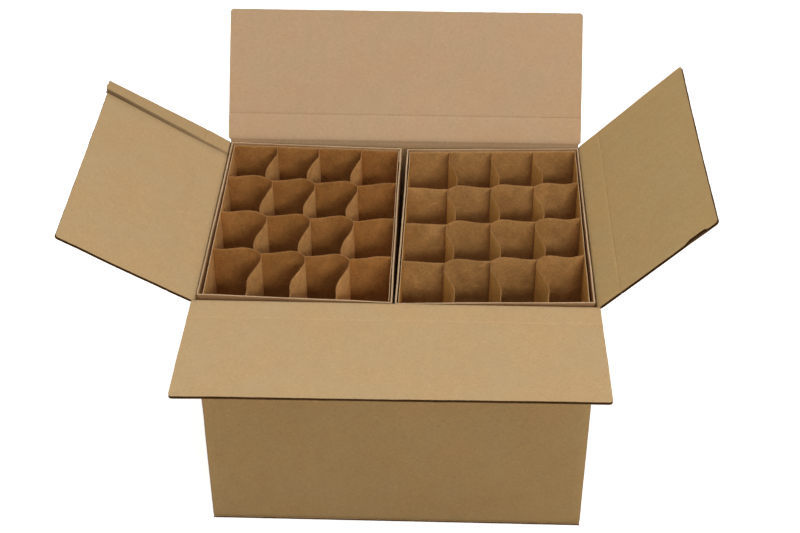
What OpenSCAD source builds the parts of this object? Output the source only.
// Open shipping carton of corrugated board holding two open inner boxes, each
// with a grid of interlocking curved divider sheets.
// +Z is up, +X runs along the long side, -Y is the front.
// The origin is the centre of the carton's underside.

/* [Carton] */
// Outside length of the carton along X
carton_w = 414; // [370:1:470]
// Outside depth of the carton along Y
carton_d = 313; // [285:1:345]
// Height of the front and back flap creases above the floor
crease_h = 312; // [230:1:360]
// Thickness of the corrugated board, and radius of the upright corners
board = 3; // [2.5:0.1:3.5]
// Width of the glue tab that closes the carton's side seam
tab_w = 31; // [25:1:38]

/* [Top flaps] */
// Distance of the second crease from the hinge crease
second_crease = 30; // [22:1:40]
// Tilt of the front flap from vertical, outward
tilt_front = 86.1; // [60:0.1:90]
// Tilt of the back flap from vertical, outward
tilt_back = 37.1; // [20:0.1:60]
// Tilt of the left flap from vertical, outward
tilt_left = 59.4; // [48:0.1:80]
// Tilt of the right flap from vertical, outward
tilt_right = 44.4; // [44:0.1:80]
// Radius of the flaps' free corners
flap_corner_r = 4; // [2:0.5:8]

/* [Inner boxes] */
// Board thickness of the inner boxes
box_board = 1.8; // [1.5:0.1:2.2]
// Gap between the two inner boxes
box_gap = 5; // [4:0.5:7]
// How much shorter the inner boxes are than the carton's inside depth
box_short = 14; // [13.5:0.5:16]
// Skew of the inner boxes' front and back walls, degrees
box_skew = 2.2; // [0:0.1:2.4]

/* [Dividers] */
// Thickness of the divider sheets
sheet = 1.0; // [0.8:0.1:1.2]
// Spacing of the cross sheets, front to back
cell_d = 69.7; // [66:0.1:70]
// Spacing of the lengthwise sheets, side to side
cell_w = 48.5; // [46:0.1:49]
// Skew of the cross sheets in the left box, degrees
row_skew_left = 4.0; // [0:0.1:4.5]
// Skew of the cross sheets in the right box, degrees
row_skew_right = 4.8; // [0:0.1:5]
// Lean of the lengthwise sheets towards the middle at the front, degrees
col_lean = 1.1; // [0:0.1:1.5]
// Wave of the cross sheets in the left box
row_wave_left = 4.5; // [0.5:0.1:4.8]
// Wave of the cross sheets in the right box
row_wave_right = 3.7; // [0.5:0.1:4.8]
// Wave of the lengthwise sheets in the left box
col_wave_left = 4.0; // [0.5:0.1:4.2]
// Wave of the lengthwise sheets in the right box
col_wave_right = 3.4; // [0.5:0.1:4.2]

/* [Tape] */
// Width of the tape along the bottom seam
tape_w = 60; // [48:1:75]
// How far the tape runs up each end
tape_up = 60; // [40:1:80]

/* [Hidden] */

KRAFT = [0.74, 0.61, 0.44];
KRAFT_LIGHT = [0.78, 0.66, 0.50];
KRAFT_BROWN = [0.60, 0.43, 0.25];
TAPE = [0.66, 0.52, 0.33];

// Throughout: side is -1 for the left box and 1 for the right one,
// end is -1 for the front and 1 for the back, dir is -1 for left and 1 for right.

// ---------- shared sizes ----------
inside_x = carton_w / 2 - board;        // inside half length of the carton
inside_y = carton_d / 2 - board;        // inside half depth of the carton
side_h = crease_h - board - 0.3;        // left and right creases; these flaps close first
wall_drop = 5.5;                        // room under each crease for the board to fold over
side_wall_top = side_h - wall_drop;
flap_l = inside_y - 0.3;                // flap length, so that two of them meet when closed
layer_gap = 0.1;                        // between the two layers of a closed bottom
layer_shave = 0.05;                     // taken off the lower layer's thickness
stack_gap = 0.5;                        // all the play in a two-layer bottom and above it

// Seam lap: a pressed strip of board, part sunk into the board beside it
lap_sink = 0.9;
lap_thick = 1.6;
lap_gap = 0.2;                          // between the lap's edge and its recess

// A child drawn in plan, raised to z and given a height
module layer(z, height) translate([0, 0, z]) linear_extrude(height) children();

// Low edge of a layer that lies outside the face at dir * face
function outside_start(dir, face, thick) = dir > 0 ? face : -face - thick;

// ---------- carton walls ----------
tab_recess_z = board + 6;
tab_z = board + 6.4;

module long_wall(end) {
    y_start = outside_start(end, inside_y, board);
    color(KRAFT) layer(board, crease_h - wall_drop - board) union() {
        translate([-inside_x, y_start]) square([2 * inside_x, board]);
        // quarter-round corners
        for (dir = [-1, 1]) intersection() {
            translate([dir * inside_x, end * inside_y]) circle(r = board, $fn = 48);
            translate([outside_start(dir, inside_x, board), y_start]) square([board, board]);
        }
    }
}
module front_wall() long_wall(-1);
module back_wall() long_wall(1);

module short_wall(dir)
    translate([outside_start(dir, inside_x, board), -inside_y, board])
        cube([board, 2 * inside_y, side_wall_top - board]);
module left_wall() color(KRAFT) difference() {
    short_wall(-1);
    // recess for the seam tab
    translate([-inside_x - lap_sink, inside_y - tab_w, tab_recess_z])
        cube([lap_sink + 1, tab_w + 1, side_h]);
}
module right_wall() color(KRAFT) short_wall(1);

// Folded off the back wall and glued inside the left wall
module side_seam_tab() color(KRAFT)
    translate([-inside_x - lap_sink, inside_y - tab_w + lap_gap, tab_z])
        cube([lap_thick, tab_w - 2 * lap_gap, side_wall_top - tab_z]);

// ---------- carton bottom ----------
tape_thick = 0.25;
tape_recess = tape_thick + 0.02;        // depth of the room for the tape in the flaps
tape_side_gap = 0.2;
bottom_fold_gap = 0.3;                  // from a bottom flap to the outline at its fold
bottom_seam_gap = 0.5;                  // from a long bottom flap to the centre seam
bottom_long_inset = 0.4;                // at the ends of a long bottom flap
bottom_short_inset = 0.5;               // at the ends of a short bottom flap
bottom_short_cut = 2;                   // the short bottom flaps stop this far below flap_l

module bottom_long_flap(end) color(KRAFT) difference() {
    translate([-carton_w / 2 + bottom_long_inset,
               end > 0 ? bottom_seam_gap : -carton_d / 2 + bottom_fold_gap, 0])
        cube([carton_w - 2 * bottom_long_inset,
              carton_d / 2 - bottom_seam_gap - bottom_fold_gap, board - layer_shave]);
    translate([-carton_w, -tape_w / 2 - tape_side_gap, -1])
        cube([2 * carton_w, tape_w + 2 * tape_side_gap, 1 + tape_recess]);
}
module bottom_front_flap() bottom_long_flap(-1);
module bottom_back_flap() bottom_long_flap(1);

module bottom_short_flap(dir) color(KRAFT)
    translate([dir > 0 ? inside_x - flap_l + bottom_short_cut : -inside_x + bottom_fold_gap,
               -inside_y + bottom_short_inset, board + layer_gap])
        cube([flap_l - bottom_short_cut - bottom_fold_gap,
              2 * (inside_y - bottom_short_inset), board]);
module bottom_left_flap() bottom_short_flap(-1);
module bottom_right_flap() bottom_short_flap(1);

module bottom_tape() color(TAPE) union() {
    translate([-carton_w / 2 - tape_thick, -tape_w / 2, 0])
        cube([carton_w + 2 * tape_thick, tape_w, tape_thick]);
    for (dir = [-1, 1])
        translate([outside_start(dir, carton_w / 2, tape_thick), -tape_w / 2, 0])
            cube([tape_thick, tape_w, tape_up]);
}

// ---------- top flaps ----------
// Drawn with x outward and z along the flap from its crease.
long_half = carton_w / 2 - 0.5;         // half width of the front and back flaps
short_half = inside_y - 1.3;            // half width of the left and right flaps
strip_start = 0.6;
strip_end = second_crease - 0.2;
panel_start = second_crease + 0.4;

module flap_plate(half, start, stop, corner) {
    rotate([90, 0, 90]) linear_extrude(board) union() {
        translate([-half, start]) square([2 * half, stop - start - corner]);
        if (corner > 0) {
            translate([-half + corner, stop - corner - 0.01])
                square([2 * (half - corner), corner + 0.01]);
            for (dir = [-1, 1])
                translate([dir * (half - corner), stop - corner]) circle(r = corner, $fn = 48);
        }
    }
}
module flap_strip(half) flap_plate(half, strip_start, strip_end, 0);
module flap_panel(half) flap_plate(half, panel_start, flap_l, flap_corner_r);

module at_front_crease()
    translate([0, -inside_y, crease_h]) rotate([tilt_front, 0, 0]) rotate([0, 0, -90]) children();
module at_back_crease()
    translate([0, inside_y, crease_h]) rotate([-tilt_back, 0, 0]) rotate([0, 0, 90]) children();
module at_left_crease()
    translate([-inside_x, 0, side_h]) rotate([0, -tilt_left, 0]) mirror([1, 0, 0]) children();
module at_right_crease()
    translate([inside_x, 0, side_h]) rotate([0, tilt_right, 0]) children();

module front_flap_strip() color(KRAFT_LIGHT) at_front_crease() flap_strip(long_half);
module front_flap_panel() color(KRAFT_LIGHT) at_front_crease() flap_panel(long_half);
module back_flap_strip() color(KRAFT_LIGHT) at_back_crease() flap_strip(long_half);
module back_flap_panel() color(KRAFT_LIGHT) at_back_crease() flap_panel(long_half);
module right_flap_strip() color(KRAFT) at_right_crease() flap_strip(short_half);
module right_flap_panel() color(KRAFT) at_right_crease() flap_panel(short_half);

// The left flap carries the seam lap along its back edge.
lap_room_y = short_half - tab_w + 2;
lap_start = 1.2;                        // from the hinge crease
lap_crease_gap = 0.8;                   // each side of the second crease
lap_free_gap = 1.5;                     // short of the flap's free edge
lap_past = 1.2;                         // panel lap beyond the flap's back edge

module lap_room(start, stop)
    translate([-1, lap_room_y, start]) cube([1 + lap_sink, tab_w + 5, stop - start]);
module left_flap_strip() color(KRAFT) at_left_crease() difference() {
    flap_strip(short_half);
    lap_room(-1, second_crease);
}
module left_flap_panel() color(KRAFT) at_left_crease() difference() {
    flap_panel(short_half);
    lap_room(second_crease, flap_l + 5);
}
module lap(start, stop, past) {
    y_start = lap_room_y + lap_gap;
    translate([lap_sink - lap_thick, y_start, start])
        cube([lap_thick, short_half + past - y_start, stop - start]);
}
module left_flap_strip_lap() color(KRAFT_LIGHT) at_left_crease()
    lap(lap_start, second_crease - lap_crease_gap, 0);
module left_flap_panel_lap() color(KRAFT_LIGHT) at_left_crease()
    lap(second_crease + lap_crease_gap, flap_l - lap_free_gap, lap_past);

// ---------- inner box positions ----------
box_side_gap = 1.1;                     // between an inner box and the carton's side wall
left_box_y = 2.35;
right_box_y = 0.75;
box_w = inside_x - box_side_gap - box_gap / 2;
box_d = 2 * inside_y - box_short;
box_z = 2 * board + stack_gap;          // underside
box_wall_z = box_z + box_board;
box_inside_z = box_z + 2 * box_board;
box_top = side_h - 0.9;                 // rim

function box_xc(side) = side * (inside_x - box_side_gap - box_w / 2);
function box_yc(side) = side < 0 ? left_box_y : right_box_y;
// x of the left or right outer face, moved inward by inset
function box_x(side, dir, inset) = box_xc(side) + dir * (box_w / 2 - inset);
// y of the front or back outer face at x, moved inward by inset
function box_y(side, end, x, inset) =
    box_yc(side) + end * (box_d / 2 - inset) + side * tan(box_skew) * (x - box_xc(side));
// [low x, high x] across a whole box, and between two insets at one side of it
function across(side, inset) = [box_x(side, -1, inset), box_x(side, 1, inset)];
function beside(side, dir, outer, inner) =
    let (a = box_x(side, dir, outer), b = box_x(side, dir, inner)) [min(a, b), max(a, b)];

// Plan of a part that follows the skew: x is [low, high],
// from and to are [end, inset] of its two skewed edges
module skewed(side, x, from, to)
    polygon([[x[0], box_y(side, from[0], x[0], from[1])],
             [x[1], box_y(side, from[0], x[1], from[1])],
             [x[1], box_y(side, to[0], x[1], to[1])],
             [x[0], box_y(side, to[0], x[0], to[1])]]);

// ---------- inner box parts ----------
box_joint_gap = 0.02;                   // between side walls and end walls
box_tab_l = 25;
box_tab_thick = 0.9;
box_tab_gap = 0.2;                      // between the seam tab and the back wall
box_tab_z = box_inside_z + 6;
box_tab_top = box_top - 2;
box_long_inset = [0.2, 0.3];            // of the long bottom flaps, in x and y
box_seam_gap = 0.4;                     // from a long bottom flap to the centre seam
box_short_inset = [0.4, 0.2];           // of the short bottom flaps inside the walls
box_short_l = box_w / 2 - 2;            // reach of the short bottom flaps from the walls

module box_end_wall(side, end) color(KRAFT_LIGHT) layer(box_wall_z, box_top - box_wall_z)
    skewed(side, across(side, 0), [end, 0], [end, box_board]);
module box_side_wall(side, dir) color(KRAFT_LIGHT) layer(box_wall_z, box_top - box_wall_z)
    skewed(side, beside(side, dir, 0, box_board),
           [-1, box_board + box_joint_gap], [1, box_board + box_joint_gap]);
// Folded off the back wall and glued inside the wall beside the other box
module box_seam_tab(side) color(KRAFT_LIGHT) layer(box_tab_z, box_tab_top - box_tab_z)
    skewed(side, beside(side, -side, box_board, box_board + box_tab_thick),
           [1, box_board + box_tab_l], [1, box_board + box_tab_gap]);
// The lower layer of the bottom: two flaps that meet at the box's middle
module box_long_flaps(side) {
    outer = across(side, box_long_inset[0]);
    middle = box_xc(side);
    color(KRAFT_LIGHT) layer(box_z, box_board - layer_shave)
        for (x = [[outer[0], middle - box_seam_gap], [middle + box_seam_gap, outer[1]]])
            skewed(side, x, [-1, box_long_inset[1]], [1, box_long_inset[1]]);
}
// The upper layer: a flap at the front and one at the back
module box_short_flaps(side) color(KRAFT_LIGHT) layer(box_wall_z + layer_gap, box_board)
    for (end = [-1, 1])
        skewed(side, across(side, box_board + box_short_inset[0]),
               [end, box_board + box_short_inset[1]], [end, box_board + box_short_l]);

module left_box_front_wall() box_end_wall(-1, -1);
module left_box_back_wall() box_end_wall(-1, 1);
module left_box_outer_wall() box_side_wall(-1, -1);
module left_box_inner_wall() box_side_wall(-1, 1);
module left_box_seam_tab() box_seam_tab(-1);
module left_box_bottom_long_flaps() box_long_flaps(-1);
module left_box_bottom_short_flaps() box_short_flaps(-1);
module right_box_front_wall() box_end_wall(1, -1);
module right_box_back_wall() box_end_wall(1, 1);
module right_box_outer_wall() box_side_wall(1, 1);
module right_box_inner_wall() box_side_wall(1, -1);
module right_box_seam_tab() box_seam_tab(1);
module right_box_bottom_long_flaps() box_long_flaps(1);
module right_box_bottom_short_flaps() box_short_flaps(1);

// ---------- divider grid ----------
sheet_z = box_inside_z + stack_gap;
sheet_top = box_top - 2;
sheet_mid = (sheet_z + sheet_top) / 2;
edge_inset = box_board + 1.3;           // outer face of an edge sheet, with room to the wall
grid_gap = 0.3;                         // between the edge sheets and the sheets inside them
grid_inset = edge_inset + sheet + grid_gap;
outer_splay = 2.4;                      // the outer edge sheets stand off further at the front
grid_shift_x = 0.6;                     // of both grids, towards the carton's middle
left_grid_shift_y = 3.2;
slot_clear = 0.2;                       // each side of the sheet in a slot
slot_l = 12;
slot_extra = 0.15;                      // depth of each slot past half height
steps = 12;                             // straight pieces per cell along a curved sheet

// Row 1 is the cross sheet at the back, col 1 the lengthwise sheet at the left.
// Rows or cols 0 and 4 stand for the edges of the grid.
function row_slope(side) = side * tan(side < 0 ? row_skew_left : row_skew_right);
function row_wave(side) = side * (side < 0 ? row_wave_left : row_wave_right);
function col_wave(side) = -side * (side < 0 ? col_wave_left : col_wave_right);
function grid_yc(side) = box_yc(side) + (side < 0 ? left_grid_shift_y : 0);
// x of a col at the grid's centre depth, and at depth y
function col_xc(side, col) = box_xc(side) - side * grid_shift_x + (col - 2) * cell_w;
function col_x(side, col, y) = col_xc(side, col) + side * tan(col_lean) * (y - grid_yc(side));
function cross_y(side, row, col) =
    grid_yc(side) + (2 - row) * cell_d + row_slope(side) * (col - 2) * cell_w;
// x where the cross sheets end at depth y
function grid_edge_x(side, dir, y) =
    box_x(side, dir, grid_inset +
        (dir == side ? outer_splay * (box_yc(side) + box_d / 2 - y) / box_d : 0));

// Crossings and ends along a cross sheet, and along a lengthwise sheet
function row_node(side, row, col) =
    let (y = cross_y(side, row, col))
    [col == 0 ? grid_edge_x(side, -1, y) :
     col == 4 ? grid_edge_x(side, 1, y) : col_x(side, col, y), y];
function col_node(side, row, col) =
    let (x = col_xc(side, col),
         y = row == 0 ? box_y(side, 1, x, grid_inset) :
             row == 4 ? box_y(side, -1, x, grid_inset) : cross_y(side, row, col))
    [col_x(side, col, y), y];

// Centre lines, with one full wave in each cell: across runs 0 to 4 from left
// to right, along runs 0 to 4 from back to front
function between(a, b, t) = a + (b - a) * t;
function row_point(side, row, across) =
    let (col = min(3, floor(across)), t = across - col)
    between(row_node(side, row, col), row_node(side, row, col + 1), t)
        + [0, row_wave(side) * sin(360 * t)];
function col_point(side, col, along) =
    let (row = min(3, floor(along)), t = along - row)
    between(col_node(side, row, col), col_node(side, row + 1, col), t)
        + [col_wave(side) * sin(360 * t), 0];

// Angle of a sheet where it crosses another
probe = 0.02;                           // distance each way, in cells
function heading(a, b) = atan2(b[1] - a[1], b[0] - a[0]);
function row_angle(side, row, col) =
    heading(row_point(side, row, col - probe), row_point(side, row, col + probe));
function col_angle(side, row, col) =
    heading(col_point(side, col, row - probe), col_point(side, col, row + probe));

// Outline of a sheet about its centre line
function normal(a, b) = let (d = (b - a) / norm(b - a)) [-d[1], d[0]];
function ribbon(points) =
    let (last = len(points) - 1,
         offsets = [for (k = [0:last])
             normal(points[max(0, k - 1)], points[min(last, k + 1)]) * sheet / 2])
    concat([for (k = [0:last]) points[k] + offsets[k]],
           [for (k = [last:-1:0]) points[k] - offsets[k]]);

// ---------- divider sheets ----------
module sheet_layer() layer(sheet_z, sheet_top - sheet_z) children();

module slot(side, row, col, angle, bottom, top)
    translate([each row_node(side, row, col), bottom]) rotate([0, 0, angle])
        translate([-slot_l / 2, -sheet / 2 - slot_clear, 0])
            cube([slot_l, sheet + 2 * slot_clear, top - bottom]);

// Cross sheets are slotted from below, lengthwise sheets from above
module divider_cross(side, row) color(KRAFT_BROWN) difference() {
    sheet_layer() polygon(ribbon([for (k = [0:4 * steps]) row_point(side, row, k / steps)]));
    for (col = [1:3])
        slot(side, row, col, col_angle(side, row, col), sheet_z - 1, sheet_mid + slot_extra);
}
module divider_length(side, col) color(KRAFT_BROWN) difference() {
    sheet_layer() polygon(ribbon([for (k = [0:4 * steps]) col_point(side, col, k / steps)]));
    for (row = [1:3])
        slot(side, row, col, row_angle(side, row, col), sheet_mid - slot_extra, sheet_top + 1);
}

// Flat sheets that stand around the grid, against the box walls
module edge_end_sheet(side, end) color(KRAFT_BROWN) sheet_layer()
    skewed(side, across(side, edge_inset), [end, edge_inset], [end, edge_inset + sheet]);

// x of the grid-side face of a side edge sheet at its front or back end
function edge_sheet_x(side, dir, end) =
    grid_edge_x(side, dir, box_y(side, end, box_x(side, dir, 0), grid_inset)) + dir * grid_gap;
function edge_point(side, end, x) = [x, box_y(side, end, x, grid_inset)];
module edge_side_sheet(side, dir) {
    front_x = edge_sheet_x(side, dir, -1);
    back_x = edge_sheet_x(side, dir, 1);
    color(KRAFT_BROWN) sheet_layer()
        polygon([edge_point(side, -1, front_x), edge_point(side, -1, front_x + dir * sheet),
                 edge_point(side, 1, back_x + dir * sheet), edge_point(side, 1, back_x)]);
}

module left_divider_cross_1() divider_cross(-1, 1);
module left_divider_cross_2() divider_cross(-1, 2);
module left_divider_cross_3() divider_cross(-1, 3);
module left_divider_length_1() divider_length(-1, 1);
module left_divider_length_2() divider_length(-1, 2);
module left_divider_length_3() divider_length(-1, 3);
module left_divider_front_sheet() edge_end_sheet(-1, -1);
module left_divider_back_sheet() edge_end_sheet(-1, 1);
module left_divider_outer_sheet() edge_side_sheet(-1, -1);
module left_divider_inner_sheet() edge_side_sheet(-1, 1);
module right_divider_cross_1() divider_cross(1, 1);
module right_divider_cross_2() divider_cross(1, 2);
module right_divider_cross_3() divider_cross(1, 3);
module right_divider_length_1() divider_length(1, 1);
module right_divider_length_2() divider_length(1, 2);
module right_divider_length_3() divider_length(1, 3);
module right_divider_front_sheet() edge_end_sheet(1, -1);
module right_divider_back_sheet() edge_end_sheet(1, 1);
module right_divider_outer_sheet() edge_side_sheet(1, 1);
module right_divider_inner_sheet() edge_side_sheet(1, -1);

front_wall();
back_wall();
left_wall();
right_wall();
side_seam_tab();
bottom_front_flap();
bottom_back_flap();
bottom_left_flap();
bottom_right_flap();
bottom_tape();
front_flap_strip();
front_flap_panel();
back_flap_strip();
back_flap_panel();
left_flap_strip();
left_flap_panel();
right_flap_strip();
right_flap_panel();
left_flap_strip_lap();
left_flap_panel_lap();
left_box_front_wall();
left_box_back_wall();
left_box_outer_wall();
left_box_inner_wall();
left_box_seam_tab();
left_box_bottom_long_flaps();
left_box_bottom_short_flaps();
right_box_front_wall();
right_box_back_wall();
right_box_outer_wall();
right_box_inner_wall();
right_box_seam_tab();
right_box_bottom_long_flaps();
right_box_bottom_short_flaps();
left_divider_cross_1();
left_divider_cross_2();
left_divider_cross_3();
left_divider_length_1();
left_divider_length_2();
left_divider_length_3();
left_divider_front_sheet();
left_divider_back_sheet();
left_divider_outer_sheet();
left_divider_inner_sheet();
right_divider_cross_1();
right_divider_cross_2();
right_divider_cross_3();
right_divider_length_1();
right_divider_length_2();
right_divider_length_3();
right_divider_front_sheet();
right_divider_back_sheet();
right_divider_outer_sheet();
right_divider_inner_sheet();
